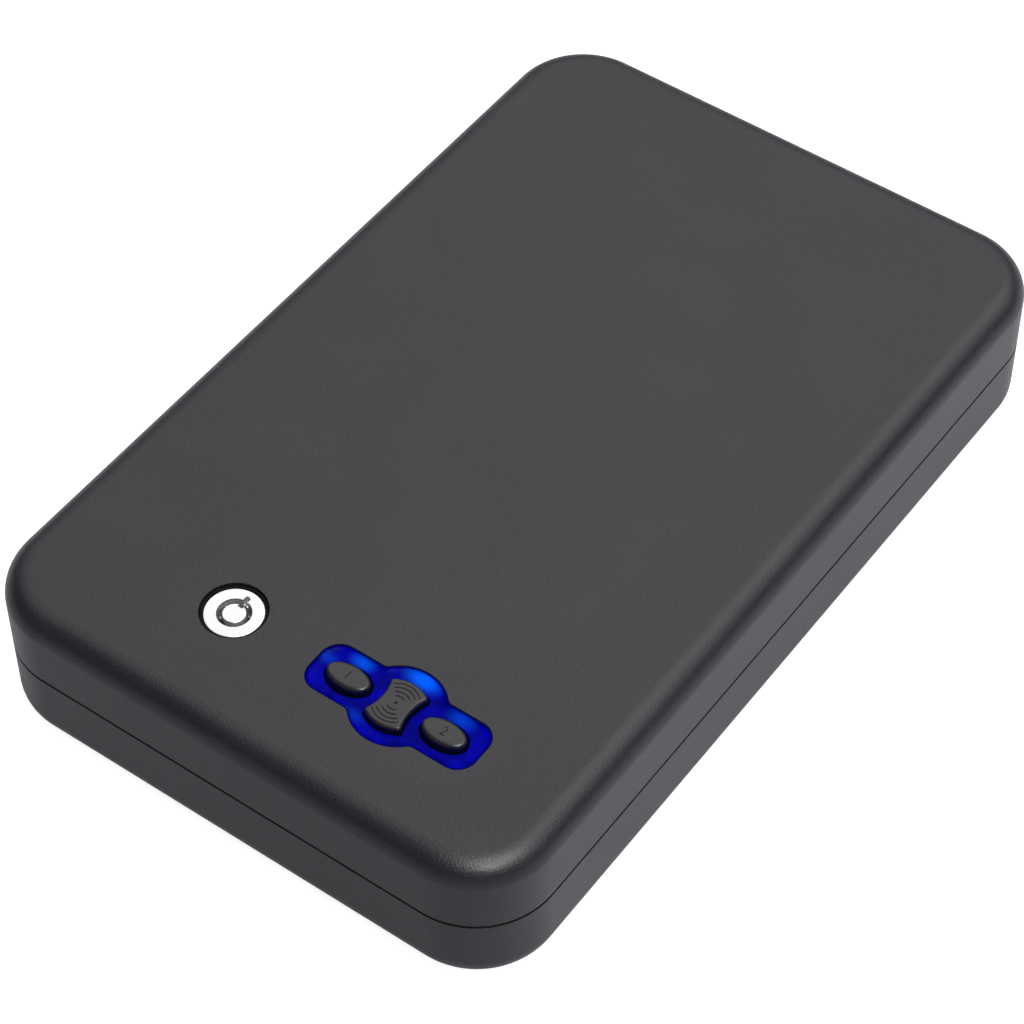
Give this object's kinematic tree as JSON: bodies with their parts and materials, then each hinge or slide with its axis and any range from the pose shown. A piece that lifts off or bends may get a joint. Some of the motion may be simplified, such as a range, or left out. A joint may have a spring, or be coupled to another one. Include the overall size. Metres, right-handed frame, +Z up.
{
  "type": "portable safe",
  "caption": "Low steel lock box with rounded corners, a rear-hinged lid, a lit blue keypad with raised keys and a round override lock beside it.",
  "frame": {"origin": "centre of the base's underside, on the surface it stands on", "axes": "+X to the user's right, +Y to the rear where the hinge is, +Z up through the lid"},
  "size_m": [0.177, 0.279, 0.051],
  "materials": {
    "powder_coat": "fine-textured matte black powder coat",
    "zinc_steel": "bright zinc plating",
    "dark_steel": "black coated steel",
    "chrome": "bright nickel",
    "black_plastic": "fine matte moulded black",
    "key_plastic": "satin moulded black",
    "blue_window": "translucent saturated blue, lit from behind",
    "grey_plastic": "matte moulded dark grey",
    "foam": "open-cell foam, charcoal",
    "green_board": "green solder mask",
    "black_component": "black epoxy",
    "lamp_white": "clear lamp",
    "copper_coil": "enamelled copper wire",
    "cell_case": "plain metal cell case"
  },
  "bodies": {
    "base": {"base_shell": "powder_coat", "base_rim": "dark_steel", "strike_plate": "zinc_steel", "strike_screws": "zinc_steel", "hinge_leaf_base": "dark_steel", "hinge_pin": "zinc_steel", "base_foam": "foam"},
    "lid": {"lid_shell": "powder_coat", "hinge_leaf_lid": "dark_steel", "lid_foam": "foam", "lock_housing": "chrome", "lock_collar": "black_plastic", "lock_nut": "zinc_steel", "chassis_plate": "zinc_steel", "chassis_screws": "zinc_steel", "latch_guides": "zinc_steel", "lid_standoffs": "zinc_steel", "cover_screws": "zinc_steel", "solenoid_frame": "zinc_steel", "solenoid_coil": "copper_coil", "latch_spring": "zinc_steel", "keypad_bezel": "blue_window", "key_switches": "black_component", "key_lamps": "lamp_white", "keypad_board": "green_board", "keypad_screws": "zinc_steel", "tag_antenna": "copper_coil", "battery_tray": "black_plastic", "battery_cells": "cell_case", "battery_contacts": "zinc_steel", "mechanism_cover": "black_plastic", "control_board": "green_board", "control_posts": "black_plastic", "control_parts": "black_component", "buzzer": "black_component"},
    "plug": {"lock_plug": "chrome", "lock_pins": "zinc_steel", "lock_cam": "zinc_steel", "cam_pin": "zinc_steel", "cam_screw": "zinc_steel"},
    "latch": {"latch_plate": "zinc_steel", "solenoid_plunger": "zinc_steel"},
    "left_button": {"key_left": "key_plastic", "switch_stem_left": "grey_plastic"},
    "centre_button": {"key_centre": "key_plastic", "switch_stem_centre": "grey_plastic"},
    "right_button": {"key_right": "key_plastic", "switch_stem_right": "grey_plastic"},
    "battery_hatch": {"battery_door": "black_plastic"}
  },
  "joints": [
    {"name": "lid_hinge", "type": "hinge", "parent": "base", "child": "lid", "pos_m": [0, 0.1367, 0.026], "axis": [-1, 0, 0], "range_deg": [0, 95]},
    {"name": "key_turn", "type": "hinge", "parent": "lid", "child": "plug", "pos_m": [-0.0242, -0.104, 0.04], "axis": [0, 0, 1], "range_deg": [0, 90]},
    {"name": "latch_slide", "type": "slide", "parent": "lid", "child": "latch", "axis": [1, 0, 0], "range_m": [0, 0.008], "deforming": ["latch_spring"]},
    {"name": "left_key_press", "type": "slide", "parent": "lid", "child": "left_button", "axis": [0, 0, -1], "range_m": [0, 0.0006], "stiffness_N_per_m": 900, "springref_m": -0.0003},
    {"name": "centre_key_press", "type": "slide", "parent": "lid", "child": "centre_button", "axis": [0, 0, -1], "range_m": [0, 0.0006], "stiffness_N_per_m": 900, "springref_m": -0.0003},
    {"name": "right_key_press", "type": "slide", "parent": "lid", "child": "right_button", "axis": [0, 0, -1], "range_m": [0, 0.0006], "stiffness_N_per_m": 900, "springref_m": -0.0003},
    {"name": "battery_door_slide", "type": "slide", "parent": "lid", "child": "battery_hatch", "axis": [0, 1, 0], "range_m": [0, 0.012]}
  ],
  "couplings": [
    {"joint": "key_turn", "follows": "latch_slide", "rad_per_m": 196.35}
  ]
}
